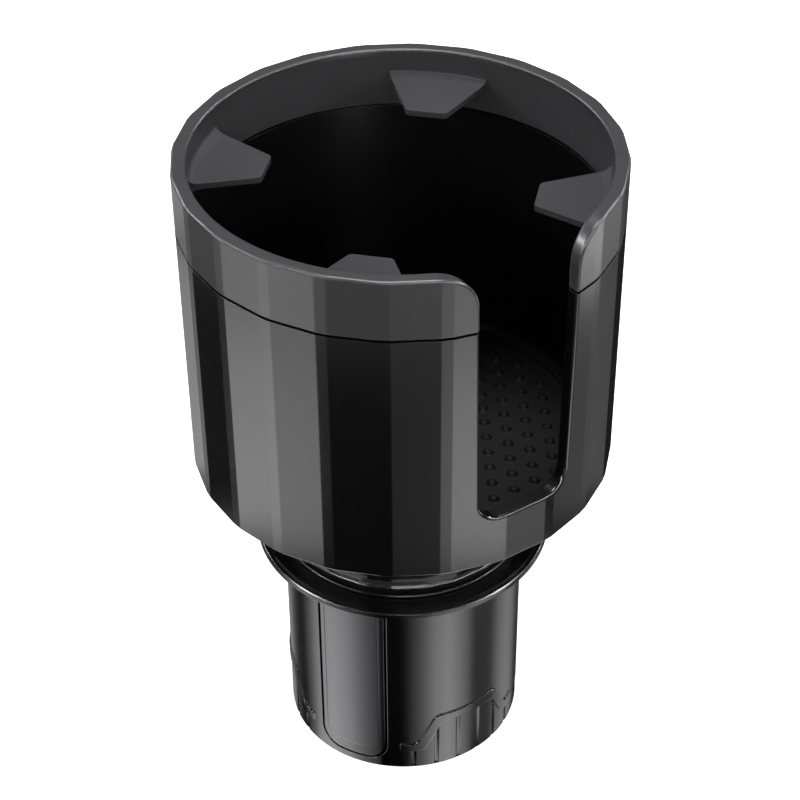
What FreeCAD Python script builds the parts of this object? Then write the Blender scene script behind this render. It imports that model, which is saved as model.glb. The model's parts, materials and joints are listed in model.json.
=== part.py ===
import FreeCAD, Part
import math
import os

# Car cup holder with an expanding base, in millimetres and degrees.
# The frame stands at the middle of the base's underside, +Z up, with the handle slot facing -Y.
# An azimuth is measured from the slot, towards +X.
# Twisting the cup turns a scroll plate in the base, whose three spiral slots push three jaws outward.

# Heights of the three stacked stages
BASE_HEIGHT = 67.0          # underside of the base to the top of its flange
NECK_HEIGHT = 28.2          # top of the flange to the underside of the cup
CUP_HEIGHT = 88.8           # underside of the cup to its rim

# Cup wall
FLATS = 24                  # flats round the outside of the cup and the neck
BEVEL_ANGLE = 3.0           # angle that the narrow bevel between two flats takes
CUP_FLAT_RADIUS = 55.84     # axis to the middle of a flat
CUP_WALL = 3.54             # middle of a flat to the bore
FACET_ROUND = 3.0           # rounding of the upright edges beside each bevel
CUP_FLOOR = 2.0
CUP_INNER_FILLET = 3.0      # rounding between bore and floor
CUP_FOOT_ROUND = 0.6        # rounding of the outer edge underneath

# Grip collar, the soft ring on top of the cup
COLLAR_HEIGHT = 16.6        # rim down to the shoulder of the cup body
COLLAR_SEAM = 0.75          # shadow gap between collar and shoulder
RIM_ROUND = 0.6             # rounding of the rim's outer edge
RIM_INNER_ROUND = 0.5
TONGUE_HEIGHT = 6.0         # ring on the body that stands in the collar's groove
TONGUE_WIDTH = 1.2
TONGUE_INSET = 1.14         # middle of a flat to the outside of the tongue
TONGUE_CLEARANCE = 0.1
TONGUE_END = 3.0            # how far the tongue stops short of the handle slot

# Four gripping tabs moulded with the collar
TAB_COUNT = 4
TAB_FIRST_AZIMUTH = 45.0
TAB_ROOT_DEPTH = 7.3        # rim down to the top of a tab, at the wall
TAB_DROOP = 0.7             # how much lower its tip lies
TAB_LENGTH = 18.3           # bore to the tip
TAB_ROOT_HALF_WIDTH = 14.1
TAB_TIP_HALF_WIDTH = 5.2
TAB_THICKNESS = 1.6
TAB_CORNER = 1.5
TAB_ROOT_RISE = 1.3         # how far the hollow ramp at a tab's root climbs the wall
TAB_ROOT_RUN = 3.4          # how far it reaches in from the wall
TAB_ROOT_SHELF = 0.4        # width of the narrow shelf on top of it
TAB_GUSSET = 0.6            # depth of the haunch under the root

# Handle slot
SLOT_TOP_WIDTH = 28.3
SLOT_BOTTOM_WIDTH = 26.1
SLOT_SILL = 14.9            # underside of the cup up to the sill of the slot
SLOT_SILL_RADIUS = 5.6
SLOT_MOUTH_RADIUS = 9.2     # rounding of the collar's two corners beside the slot
SLOT_EDGE_ROUND = 0.8       # rounding of the slot's edges on the body's outside
SLOT_INNER_ROUND = 0.5

# Rubber mat on the cup's floor
MAT_THICKNESS = 1.0
MAT_CLEARANCE = 0.2         # mat to the fillet round the floor
MAT_RIM_WIDTH = 1.5
MAT_RIM_HEIGHT = 0.6
STUD_PITCH = 6.5            # studs along a row
STUD_ROW_PITCH = 5.4
STUD_SIDES = 6
STUD_FOOT_RADIUS = 1.7
STUD_TOP_RADIUS = 0.8
STUD_HEIGHT = 0.6
STUD_MARGIN = 1.0           # raised rim to the nearest stud

# Neck, which turns with the cup
NECK_FLAT_RADIUS = 31.0
NECK_WALL = 2.6
NECK_DISC_RADIUS = 34.1     # round disc that rides on the flange
NECK_DISC_EDGE = 0.9
NECK_DISC_ROUND = 0.35
NECK_FLARE_INSET = 0.9      # disc's edge to the foot of the faceted flare
NECK_FLARE_HEIGHT = 3.2
NECK_FLARE_STEPS = 5
NECK_FLOOR = 2.6
SPINDLE_RADIUS = 7.0
SPINDLE_FIT = 0.06          # radial running clearance in the base
DRIVE_WIDTH = 9.0           # square end that turns the scroll plate
DRIVE_CLEARANCE = 0.1
SPINDLE_BOSS_RADIUS = 5.5
SPINDLE_BOSS_HEIGHT = 7.0

# Bosses and screws that hold the cup on the neck
CUP_SCREW_COUNT = 4
CUP_SCREW_CIRCLE = 23.0
CUP_BOSS_RADIUS = 3.4
CUP_SCREW_LENGTH = 12.0
CUP_SCREW_HEAD_RADIUS = 2.8
CUP_SCREW_HEAD = 1.6
BOSS_RIB_THICKNESS = 1.6

# Screws in general
SCREW_RADIUS = 1.45
SCREW_HOLE_CLEARANCE = 0.05
SCREW_HEAD_CLEARANCE = 0.3
SCREW_RECESS_WIDTH = 0.8
SCREW_RECESS_DEPTH = 0.8
SCREW_RECESS_SPAN = 0.55    # half length of the cross, as a share of the head's radius
PAN_HEAD_ROUND = 0.35       # bevel of a pan head, as a share of its height
SCREW_TIP = 0.4             # bevel of a screw's tip, as a share of its radius

# Centre screw and washer under the scroll plate
CENTRE_SCREW_RADIUS = 1.9
CENTRE_SCREW_HEAD_RADIUS = 4.4
CENTRE_SCREW_HEAD = 2.4
CENTRE_SCREW_LENGTH = 16.0
WASHER_RADIUS = 7.8
WASHER_THICKNESS = 0.8

# Friction washer between neck and base
FRICTION_INNER_RADIUS = 13.0
FRICTION_OUTER_RADIUS = 25.0
FRICTION_THICKNESS = 0.8
FRICTION_SEAT = 0.5         # depth of its recess in the base
FRICTION_CLEARANCE = 0.2

# Base shell
BASE_RADIUS = 33.0
BASE_WALL = 2.2
BASE_DECK = 3.6             # thickness of the deck that carries the neck
BASE_FOOT_CHAMFER = 0.5
FLANGE_REACH = 7.4          # how far the flange stands out from the wall
FLANGE_THICKNESS = 1.7
FLANGE_LIP = 0.4            # height of the raised lip round the flange
FLANGE_LIP_WIDTH = 1.6
FLANGE_FILLET = 1.6

# Windows and jaws
JAW_COUNT = 3
JAW_FIRST_AZIMUTH = 60.0
JAW_TRAVEL = 8.0
JAW_HALF_WIDTH = 9.65
JAW_FOOT_GAP = 0.3          # bottom cover to jaw
JAW_TOP_GAP = 2.2           # jaw to the underside of the deck
JAW_CORNER = 5.5
JAW_TOP_CORNER = 1.5
JAW_PIN_MARGIN = 1.2        # jaw's material on the inner side of its follower pin
JAW_PLATE = 4.0             # thickness of the curved outer plate
JAW_WEB = 3.0
JAW_ARM = 5.0               # thickness of the upper arm
JAW_FOOT = 7.0              # thickness of the lower arm
WINDOW_GAP = 0.75
GUIDE_RAIL_WIDTH = 4.0
GUIDE_RAIL_HEIGHT = 2.4
GUIDE_CLEARANCE = 0.12
GUIDE_FENCE_THICKNESS = 1.4
GUIDE_FENCE_GAP = 1.0       # scroll plate to fence

# Rubber pad let into each jaw
PAD_SIDE_MARGIN = 1.45      # jaw's side edge to the pad's
PAD_MARGIN = 3.5            # jaw's lower edge up to the pad's lower edge
PAD_TOP_MARGIN = 1.6
PAD_THICKNESS = 1.3
PAD_PROUD = 0.1
PAD_CORNER = 4.0
PAD_TOP_CORNER = 1.0
PAD_CLEARANCE = 0.05

# Scroll plate
SCROLL_RIM = 1.3            # material outside a slot's outer end
SCROLL_THICKNESS = 3.0
SCROLL_GAP = 0.2            # deck to plate
SCROLL_TURN = 120.0         # twist that moves the jaws through their travel
SCROLL_POST_GAP = 0.5       # plate to the base's screw posts
SCROLL_SLOT_CLEARANCE = 0.1
SCROLL_ARCS = 4             # arcs that make up one wall of a slot
SCROLL_ARM_GAP = 0.3        # centre washer to the jaws' upper arms
PIN_RADIUS = 1.6
PIN_DEPTH = 4.5             # length pressed into the arm

# Bottom cover
COVER_RECESS = 0.6
COVER_THICKNESS = 2.6
COVER_CLEARANCE = 0.1
POST_MARGIN = 1.1           # base wall to post
POST_RADIUS = 3.1
COVER_SCREW_LENGTH = 10.0
COVER_SCREW_HEAD_RADIUS = 2.7
COVER_SCREW_HEAD = 1.5

# Raised band and grooves on the outside of the base
BAND_HEIGHT = 2.6
BAND_RAISE = 0.4
BAND_END_ANGLE = 35.5
BAND_LOW_Z = 7.2            # lower edge of the band at its ends
BAND_HIGH_Z = 17.4          # lower edge of the band in the middle
BAND_LOW_ANGLE = 24.0       # where the low stretch starts to climb
BAND_HIGH_ANGLE = 15.0      # where the high stretch ends
BAND_CORNER = 2.6
GROOVE_WIDTH = 1.4
GROOVE_DEPTH = 0.5
GROOVE_PITCH = 11.5
GROOVE_COUNT = 6

# Modelling margin: how far a cut or an overlap runs past the face that it meets
PAST = 1.0

# Places that follow from the sizes above
UP = FreeCAD.Vector(0, 0, 1)
FULL_TURN = 360.0
CUP_BORE_RADIUS = CUP_FLAT_RADIUS - CUP_WALL
TONGUE_RADIUS = CUP_FLAT_RADIUS - TONGUE_INSET - TONGUE_WIDTH
TAB_TIP_RADIUS = CUP_BORE_RADIUS - TAB_LENGTH
CUP_BOTTOM_Z = BASE_HEIGHT + NECK_HEIGHT
RIM_Z = CUP_BOTTOM_Z + CUP_HEIGHT
SHOULDER_Z = RIM_Z - COLLAR_HEIGHT
CUP_FLOOR_Z = CUP_BOTTOM_Z + CUP_FLOOR
SILL_Z = CUP_BOTTOM_Z + SLOT_SILL
DECK_UNDER_Z = BASE_HEIGHT - BASE_DECK
SCROLL_TOP_Z = DECK_UNDER_Z - SCROLL_GAP
SCROLL_UNDER_Z = SCROLL_TOP_Z - SCROLL_THICKNESS
ARM_TOP_Z = SCROLL_UNDER_Z - WASHER_THICKNESS - SCROLL_ARM_GAP
NECK_UNDER_Z = BASE_HEIGHT - FRICTION_SEAT + FRICTION_THICKNESS
COVER_TOP_Z = COVER_RECESS + COVER_THICKNESS
BASE_BORE_RADIUS = BASE_RADIUS - BASE_WALL
FLANGE_RADIUS = BASE_RADIUS + FLANGE_REACH
POST_CIRCLE = BASE_BORE_RADIUS - POST_MARGIN - POST_RADIUS
SCROLL_RADIUS = POST_CIRCLE - POST_RADIUS - SCROLL_POST_GAP
SCROLL_SLOT_HALF = PIN_RADIUS + SCROLL_SLOT_CLEARANCE
SCROLL_START_RADIUS = SCROLL_RADIUS - SCROLL_RIM - SCROLL_SLOT_HALF - JAW_TRAVEL
GUIDE_FENCE_INNER_RADIUS = SCROLL_RADIUS + GUIDE_FENCE_GAP
JAW_INNER_RADIUS = SCROLL_START_RADIUS - PIN_RADIUS - JAW_PIN_MARGIN
JAW_BOTTOM = COVER_TOP_Z + JAW_FOOT_GAP
JAW_TOP = DECK_UNDER_Z - JAW_TOP_GAP
PAD_HALF_WIDTH = JAW_HALF_WIDTH - PAD_SIDE_MARGIN
SCROLL_RATE = JAW_TRAVEL / math.radians(SCROLL_TURN)
JAW_AZIMUTHS = [JAW_FIRST_AZIMUTH + i * FULL_TURN / JAW_COUNT for i in range(JAW_COUNT)]
BAND_AZIMUTHS = [azimuth - FULL_TURN / JAW_COUNT / 2 for azimuth in JAW_AZIMUTHS]


def place(radius, azimuth, z=0.0):
    """Point at a radius and azimuth."""
    angle = math.radians(azimuth)
    return FreeCAD.Vector(radius * math.sin(angle), -radius * math.cos(angle), z)


def turned(shape, azimuth):
    """Copy of a shape made facing -Y, turned to an azimuth."""
    copy = shape.copy()
    copy.rotate(FreeCAD.Vector(0, 0, 0), UP, azimuth)
    return copy


def disc(radius, bottom, top, centre=None):
    """Upright cylinder between two heights."""
    at = centre or FreeCAD.Vector(0, 0, 0)
    return Part.makeCylinder(radius, top - bottom, FreeCAD.Vector(at.x, at.y, bottom), UP)


def ring(inner, outer, bottom, top):
    """Round ring between two heights."""
    return disc(outer, bottom, top).cut(disc(inner, bottom, top))


def bar(half_width, near, far, bottom, top):
    """Box centred on the -Y side, from a near to a far distance."""
    corner = FreeCAD.Vector(-half_width, -far, bottom)
    return Part.makeBox(2 * half_width, far - near, top - bottom, corner)


def rounded_outline(corners):
    """Closed wire through (point, radius) corners, with an arc at each corner that has a radius."""
    ends = []
    edges = []
    for i, (point, radius) in enumerate(corners):
        before = (corners[i - 1][0] - point).normalize()
        after = (corners[(i + 1) % len(corners)][0] - point).normalize()
        half = before.getAngle(after) / 2
        if radius <= 0:
            ends.append((point, point))
            continue
        reach = radius / math.tan(half)
        start = point + before * reach
        end = point + after * reach
        middle = point + (before + after).normalize() * (radius / math.sin(half) - radius)
        edges.append((i, Part.Arc(start, middle, end).toShape()))
        ends.append((start, end))
    arcs = dict(edges)
    path = []
    for i in range(len(corners)):
        if i in arcs:
            path.append(arcs[i])
        start = ends[i][1]
        end = ends[(i + 1) % len(corners)][0]
        if start.distanceToPoint(end) > 1e-6:
            path.append(Part.LineSegment(start, end).toShape())
    return Part.Wire(path)


def facing_outline(corners):
    """Outline drawn on the plane y = 0 from (x, z, radius) corners."""
    return rounded_outline([(FreeCAD.Vector(x, 0, z), radius) for x, z, radius in corners])


def facing_prism(corners, near, far):
    """Outline drawn from the front, carried outward from a near to a far distance."""
    face = Part.Face(facing_outline(corners))
    face.translate(FreeCAD.Vector(0, -near, 0))
    return face.extrude(FreeCAD.Vector(0, near - far, 0))


def faceted_corners(flat_radius, z=0.0):
    """Corners of the cup's or neck's outline: flats with a narrow bevel between them."""
    half_flat = (FULL_TURN / FLATS - BEVEL_ANGLE) / 2
    corner_radius = flat_radius / math.cos(math.radians(half_flat))
    points = []
    for i in range(FLATS):
        azimuth = i * FULL_TURN / FLATS
        points.append(place(corner_radius, azimuth - half_flat, z))
        points.append(place(corner_radius, azimuth + half_flat, z))
    return points


def faceted_prism(flat_radius, bottom, top):
    """Upright faceted block whose upright edges are slightly rounded."""
    outline = rounded_outline([(point, FACET_ROUND) for point in faceted_corners(flat_radius, bottom)])
    return Part.Face(outline).extrude(UP * (top - bottom))


def faceted_stack(levels):
    """Solid through sharp faceted outlines, each given as (height, flat radius)."""
    wires = []
    for z, radius in levels:
        points = faceted_corners(radius, z)
        wires.append(Part.makePolygon(points + points[:1]))
    return Part.makeLoft(wires, True, True)


def spun(points):
    """Solid turned about the axis from (radius, height) points."""
    outline = Part.makePolygon([FreeCAD.Vector(r, 0, z) for r, z in points + points[:1]])
    return Part.Face(outline).revolve(FreeCAD.Vector(0, 0, 0), UP, FULL_TURN)


def arc_steps(start, end, count):
    """Angles in radians that step evenly from start to end, both included."""
    return [math.radians(start + (end - start) * i / count) for i in range(count + 1)]


def faces_outward(face):
    """True for a wall that faces away from or towards the axis, at its middle."""
    first_u, last_u, first_v, last_v = face.ParameterRange
    u = (first_u + last_u) / 2
    v = (first_v + last_v) / 2
    point = face.valueAt(u, v)
    normal = face.normalAt(u, v)
    return abs(normal.x * point.x + normal.y * point.y) > math.hypot(point.x, point.y) / 2


def brim_edges(shape, nearest, farthest, low, high):
    """Edges where a wall meets its brim or the handle slot, within a range of radius and height."""
    edges = []
    for edge in shape.Edges:
        walls = [faces_outward(face) for face in shape.ancestorsOfType(edge, Part.Face)]
        first, last = edge.ParameterRange
        middle = edge.valueAt((first + last) / 2)
        radius = math.hypot(middle.x, middle.y)
        if sorted(walls) == [False, True] and nearest < radius < farthest and low < middle.z < high:
            edges.append(edge)
    return edges


def screw(shank_radius, length, head_radius, head, countersunk=False):
    """Screw standing on its head's top at z = 0, with the shank pointing to +Z and a cross recess."""
    soft = head * PAN_HEAD_ROUND
    tip = shank_radius * SCREW_TIP
    profile = [(0, 0), (head_radius - soft, 0), (head_radius, soft), (head_radius, head)]
    if countersunk:
        profile = [(0, 0), (head_radius, 0)]
    profile += [(shank_radius, head), (shank_radius, length - tip)]
    profile += [(shank_radius - tip, length), (0, length)]
    body = spun(profile)
    arm = head_radius * SCREW_RECESS_SPAN
    half = SCREW_RECESS_WIDTH / 2
    for x, y in ((arm, half), (half, arm)):
        body = body.cut(Part.makeBox(2 * x, 2 * y, SCREW_RECESS_DEPTH, FreeCAD.Vector(-x, -y, 0)))
    return body


def slot_cutter():
    """Prism that opens the handle slot through the wall, flared at the rim."""
    top = SLOT_TOP_WIDTH / 2
    bottom = SLOT_BOTTOM_WIDTH / 2
    beyond = top + 2 * SLOT_MOUTH_RADIUS
    above = RIM_Z + SLOT_MOUTH_RADIUS
    corners = [
        (-bottom, SILL_Z, SLOT_SILL_RADIUS),
        (bottom, SILL_Z, SLOT_SILL_RADIUS),
        (top, RIM_Z, SLOT_MOUTH_RADIUS),
        (beyond, RIM_Z, 0),
        (beyond, above, 0),
        (-beyond, above, 0),
        (-beyond, RIM_Z, 0),
        (-top, RIM_Z, SLOT_MOUTH_RADIUS),
    ]
    return facing_prism(corners, CUP_BORE_RADIUS / 2, CUP_FLAT_RADIUS + CUP_BORE_RADIUS / 2)


def grip_tab():
    """One gripping tab: a tapered tongue that leaves the wall on a hollow ramp and droops to its tip."""
    root_z = RIM_Z - TAB_ROOT_DEPTH
    wall = TONGUE_RADIUS - TONGUE_CLEARANCE
    reach = wall - TAB_TIP_RADIUS
    slope = (TAB_ROOT_HALF_WIDTH - TAB_TIP_HALF_WIDTH) / (CUP_BORE_RADIUS - TAB_TIP_RADIUS)
    wide = TAB_TIP_HALF_WIDTH + slope * reach
    plan = [
        (FreeCAD.Vector(-wide, -wall, 0), 0),
        (FreeCAD.Vector(-TAB_TIP_HALF_WIDTH, -TAB_TIP_RADIUS, 0), TAB_CORNER),
        (FreeCAD.Vector(TAB_TIP_HALF_WIDTH, -TAB_TIP_RADIUS, 0), TAB_CORNER),
        (FreeCAD.Vector(wide, -wall, 0), 0),
    ]
    column = Part.Face(rounded_outline(plan)).extrude(UP * (2 * COLLAR_HEIGHT))
    column.translate(UP * (root_z - COLLAR_HEIGHT))
    shelf = CUP_BORE_RADIUS - TAB_ROOT_SHELF
    ramp_foot = shelf - TAB_ROOT_RUN
    profile = [(wall, root_z + TAB_ROOT_RISE)]
    for turn in arc_steps(0, 90, 4):
        radius = shelf - TAB_ROOT_RUN * (1 - math.cos(turn))
        profile.append((radius, root_z + TAB_ROOT_RISE * (1 - math.sin(turn))))
    profile += [
        (TAB_TIP_RADIUS - PAST, root_z - TAB_DROOP),
        (TAB_TIP_RADIUS - PAST, root_z - TAB_DROOP - TAB_THICKNESS),
        (ramp_foot, root_z - TAB_THICKNESS),
        (wall, root_z - TAB_THICKNESS - TAB_GUSSET),
    ]
    return column.common(spun(profile))


def tongue_gap(margin):
    """Block beside the handle slot where the tongue, or its groove, leaves off."""
    half = SLOT_TOP_WIDTH / 2 + margin
    return bar(half, CUP_BORE_RADIUS / 2, 2 * CUP_FLAT_RADIUS, SHOULDER_Z, RIM_Z + PAST)


def make_grip_collar():
    """Soft ring on top of the cup, with the gripping tabs and the slot's rounded corners."""
    bottom = SHOULDER_Z + COLLAR_SEAM
    collar = faceted_prism(CUP_FLAT_RADIUS, bottom, RIM_Z)
    collar = collar.cut(disc(CUP_BORE_RADIUS, bottom - PAST, RIM_Z + PAST))
    collar = collar.cut(slot_cutter())
    middle = CUP_BORE_RADIUS + CUP_WALL / 2
    above = RIM_Z + PAST
    low = bottom + COLLAR_SEAM
    collar = collar.makeFillet(RIM_ROUND, brim_edges(collar, middle, 2 * middle, low, above))
    collar = collar.makeFillet(RIM_INNER_ROUND, brim_edges(collar, 0, middle, low, above))
    for i in range(TAB_COUNT):
        azimuth = TAB_FIRST_AZIMUTH + i * FULL_TURN / TAB_COUNT
        collar = collar.fuse(turned(grip_tab(), azimuth))
    groove = ring(
        TONGUE_RADIUS - TONGUE_CLEARANCE,
        TONGUE_RADIUS + TONGUE_WIDTH + TONGUE_CLEARANCE,
        bottom - PAST,
        SHOULDER_Z + TONGUE_HEIGHT,
    )
    return collar.cut(groove.cut(tongue_gap(TONGUE_END - TONGUE_CLEARANCE)))


def cup_screw_places():
    """Centres of the screws that hold the cup on the neck."""
    step = FULL_TURN / CUP_SCREW_COUNT
    return [place(CUP_SCREW_CIRCLE, step * (i + 0.5)) for i in range(CUP_SCREW_COUNT)]


def cup_bore():
    """Inside of the cup, rounded where the wall meets the floor."""
    profile = [(0, CUP_FLOOR_Z)]
    for turn in arc_steps(90, 0, 5):
        inset = CUP_INNER_FILLET * (1 - math.cos(turn))
        lift = CUP_INNER_FILLET * (1 - math.sin(turn))
        profile.append((CUP_BORE_RADIUS - inset, CUP_FLOOR_Z + lift))
    profile += [(CUP_BORE_RADIUS, RIM_Z), (0, RIM_Z)]
    return spun(profile)


def make_cup_body():
    """Faceted cup with its floor, the tongue for the collar and the handle slot."""
    body = faceted_prism(CUP_FLAT_RADIUS, CUP_BOTTOM_Z, SHOULDER_Z)
    tongue_top = SHOULDER_Z + TONGUE_HEIGHT
    body = body.fuse(disc(TONGUE_RADIUS + TONGUE_WIDTH, SHOULDER_Z - PAST, tongue_top))
    body = body.cut(cup_bore())
    body = body.cut(disc(TONGUE_RADIUS, SHOULDER_Z, RIM_Z))
    ledge = ring(TONGUE_RADIUS - PAST, 2 * CUP_FLAT_RADIUS, SHOULDER_Z, RIM_Z)
    body = body.cut(ledge.common(tongue_gap(TONGUE_END)))
    body = body.cut(slot_cutter()).removeSplitter()
    middle = CUP_BORE_RADIUS + CUP_WALL / 2
    low = CUP_FLOOR_Z + CUP_INNER_FILLET
    high = SHOULDER_Z - COLLAR_SEAM
    body = body.makeFillet(SLOT_EDGE_ROUND, brim_edges(body, middle, 2 * middle, low, high))
    body = body.makeFillet(SLOT_INNER_ROUND, brim_edges(body, 0, middle, low, high))
    foot = brim_edges(body, middle, 2 * middle, CUP_BOTTOM_Z - PAST, CUP_BOTTOM_Z + PAST)
    body = body.makeFillet(CUP_FOOT_ROUND, foot)
    for centre in cup_screw_places():
        hole = disc(SCREW_RADIUS + SCREW_HOLE_CLEARANCE, CUP_BOTTOM_Z - PAST, RIM_Z, centre)
        sink = Part.makeCone(
            SCREW_RADIUS + SCREW_HOLE_CLEARANCE,
            CUP_SCREW_HEAD_RADIUS + SCREW_HOLE_CLEARANCE,
            CUP_SCREW_HEAD,
            FreeCAD.Vector(centre.x, centre.y, CUP_FLOOR_Z - CUP_SCREW_HEAD),
            UP,
        )
        body = body.cut(hole.fuse(sink))
    return body


def stud_outline(radius, z):
    """Outline of a stud at one height."""
    points = [place(radius, i * FULL_TURN / STUD_SIDES, z) for i in range(STUD_SIDES)]
    return Part.makePolygon(points + points[:1])


def mat_studs(top, reach):
    """Low tapered studs in staggered rows, out to a reach from the mat's middle."""
    levels = [(STUD_FOOT_RADIUS, top - MAT_THICKNESS / 2), (STUD_FOOT_RADIUS, top)]
    levels.append((STUD_TOP_RADIUS, top + STUD_HEIGHT))
    stud = Part.makeLoft([stud_outline(radius, z) for radius, z in levels], True, True)
    rows = int(reach / STUD_ROW_PITCH)
    columns = int(reach / STUD_PITCH) + 1
    studs = []
    for row in range(-rows, rows + 1):
        for column in range(-columns, columns + 1):
            x = STUD_PITCH * (column + (row % 2) / 2)
            y = STUD_ROW_PITCH * row
            if math.hypot(x, y) < reach - STUD_FOOT_RADIUS:
                one = stud.copy()
                one.translate(FreeCAD.Vector(x, y, 0))
                studs.append(one)
    return Part.makeCompound(studs)


def make_floor_mat():
    """Rubber mat that lies on the cup's floor, with a raised rim and rows of studs."""
    radius = CUP_BORE_RADIUS - CUP_INNER_FILLET - MAT_CLEARANCE
    inside = radius - MAT_RIM_WIDTH
    top = CUP_FLOOR_Z + MAT_THICKNESS
    mat = disc(radius, CUP_FLOOR_Z, top)
    mat = mat.fuse(ring(inside, radius, top, top + MAT_RIM_HEIGHT)).removeSplitter()
    return mat.fuse(mat_studs(top, inside - STUD_MARGIN))


def make_cup_screws():
    """Countersunk screws from the cup's floor down into the neck."""
    screws = []
    for centre in cup_screw_places():
        one = screw(SCREW_RADIUS, CUP_SCREW_LENGTH, CUP_SCREW_HEAD_RADIUS, CUP_SCREW_HEAD, True)
        one.rotate(FreeCAD.Vector(0, 0, 0), FreeCAD.Vector(1, 0, 0), 180)
        one.translate(FreeCAD.Vector(centre.x, centre.y, CUP_FLOOR_Z))
        screws.append(one)
    return Part.makeCompound(screws)


def neck_levels():
    """Heights and flat radii of the neck, flaring to its foot on the disc."""
    foot_z = NECK_UNDER_Z + NECK_DISC_EDGE
    foot_radius = NECK_DISC_RADIUS - NECK_FLARE_INSET
    spread = foot_radius - NECK_FLAT_RADIUS
    levels = [(NECK_UNDER_Z, foot_radius)]
    for turn in arc_steps(0, 90, NECK_FLARE_STEPS):
        height = foot_z + NECK_FLARE_HEIGHT * (1 - math.cos(turn))
        levels.append((height, foot_radius - spread * math.sin(turn)))
    levels.append((CUP_BOTTOM_Z, NECK_FLAT_RADIUS))
    return levels


def neck_disc():
    """Round disc at the foot of the neck, with a rounded upper edge."""
    edge_top = NECK_UNDER_Z + NECK_DISC_EDGE
    profile = [(0, NECK_UNDER_Z), (NECK_DISC_RADIUS, NECK_UNDER_Z)]
    for turn in arc_steps(0, 90, 3):
        radius = NECK_DISC_RADIUS - NECK_DISC_ROUND * (1 - math.cos(turn))
        profile.append((radius, edge_top - NECK_DISC_ROUND * (1 - math.sin(turn))))
    profile.append((0, edge_top))
    return spun(profile)


def make_neck_hub():
    """Faceted neck with its disc, the spindle and drive below, and the screw bosses inside."""
    inside = NECK_FLAT_RADIUS - NECK_WALL
    floor_z = NECK_UNDER_Z + NECK_FLOOR
    hub = faceted_stack(neck_levels()).fuse(neck_disc())
    hub = hub.cut(disc(inside, floor_z, CUP_BOTTOM_Z + PAST))
    for centre in cup_screw_places():
        boss = disc(CUP_BOSS_RADIUS, floor_z - PAST, CUP_BOTTOM_Z, centre)
        hub = hub.fuse(boss)
    step = FULL_TURN / CUP_SCREW_COUNT
    for i in range(CUP_SCREW_COUNT):
        rib = bar(BOSS_RIB_THICKNESS / 2, CUP_SCREW_CIRCLE, inside + PAST, floor_z - PAST, CUP_BOTTOM_Z)
        hub = hub.fuse(turned(rib, step * (i + 0.5)))
    hub = hub.fuse(disc(SPINDLE_BOSS_RADIUS, floor_z - PAST, floor_z + SPINDLE_BOSS_HEIGHT))
    drive_half = DRIVE_WIDTH / 2
    drive_end = SCROLL_UNDER_Z + SCROLL_GAP
    hub = hub.fuse(disc(SPINDLE_RADIUS, SCROLL_TOP_Z, NECK_UNDER_Z + PAST))
    hub = hub.fuse(bar(drive_half, -drive_half, drive_half, drive_end, NECK_UNDER_Z + PAST))
    for centre in cup_screw_places():
        hole = disc(SCREW_RADIUS + SCREW_HOLE_CLEARANCE, floor_z + PAST, CUP_BOTTOM_Z + PAST, centre)
        hub = hub.cut(hole)
    centre_hole_top = floor_z + SPINDLE_BOSS_HEIGHT - PAST
    hub = hub.cut(disc(CENTRE_SCREW_RADIUS + SCREW_HOLE_CLEARANCE, drive_end - PAST, centre_hole_top))
    return hub.removeSplitter()


def make_friction_washer():
    """Flat washer that gives the twist its drag."""
    bottom = BASE_HEIGHT - FRICTION_SEAT
    return ring(FRICTION_INNER_RADIUS, FRICTION_OUTER_RADIUS, bottom, bottom + FRICTION_THICKNESS)


def scroll_point(angle, offset):
    """Point of a slot wall: the spiral at an angle past its start, moved sideways by an offset."""
    radius = SCROLL_START_RADIUS + SCROLL_RATE * math.radians(angle)
    turn = math.radians(angle)
    outward = FreeCAD.Vector(math.sin(turn), -math.cos(turn), 0)
    along = FreeCAD.Vector(math.cos(turn), math.sin(turn), 0)
    tangent = (outward * SCROLL_RATE + along * radius).normalize()
    normal = FreeCAD.Vector(tangent.y, -tangent.x, 0)
    return outward * radius + normal * offset


def scroll_wall(offset, start, end):
    """Arcs along one wall of a spiral slot."""
    step = (end - start) / SCROLL_ARCS
    arcs = []
    for i in range(SCROLL_ARCS):
        stops = (start + step * i, start + step * (i + 0.5), start + step * (i + 1))
        arcs.append(Part.Arc(*[scroll_point(angle, offset) for angle in stops]).toShape())
    return arcs


def scroll_end(angle, side):
    """Round end of a spiral slot."""
    centre = scroll_point(angle, 0)
    first = scroll_point(angle, SCROLL_SLOT_HALF * side)
    last = scroll_point(angle, -SCROLL_SLOT_HALF * side)
    across = first - centre
    tip = centre + FreeCAD.Vector(-across.y, across.x, 0)
    return Part.Arc(first, tip, last).toShape()


def scroll_slot():
    """One spiral slot through the scroll plate, with round ends."""
    outer = scroll_wall(SCROLL_SLOT_HALF, 0, SCROLL_TURN)
    inner = scroll_wall(-SCROLL_SLOT_HALF, SCROLL_TURN, 0)
    outline = outer + [scroll_end(SCROLL_TURN, 1)] + inner + [scroll_end(0, -1)]
    face = Part.Face(Part.Wire(outline))
    face.translate(UP * (SCROLL_UNDER_Z - PAST))
    return face.extrude(UP * (SCROLL_THICKNESS + 2 * PAST))


def make_scroll_plate():
    """Plate with three spiral slots, turned by the spindle's square end."""
    plate = disc(SCROLL_RADIUS, SCROLL_UNDER_Z, SCROLL_TOP_Z)
    for azimuth in JAW_AZIMUTHS:
        plate = plate.cut(turned(scroll_slot(), azimuth))
    half = DRIVE_WIDTH / 2 + DRIVE_CLEARANCE
    return plate.cut(bar(half, -half, half, SCROLL_UNDER_Z - PAST, SCROLL_TOP_Z + PAST))


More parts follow.
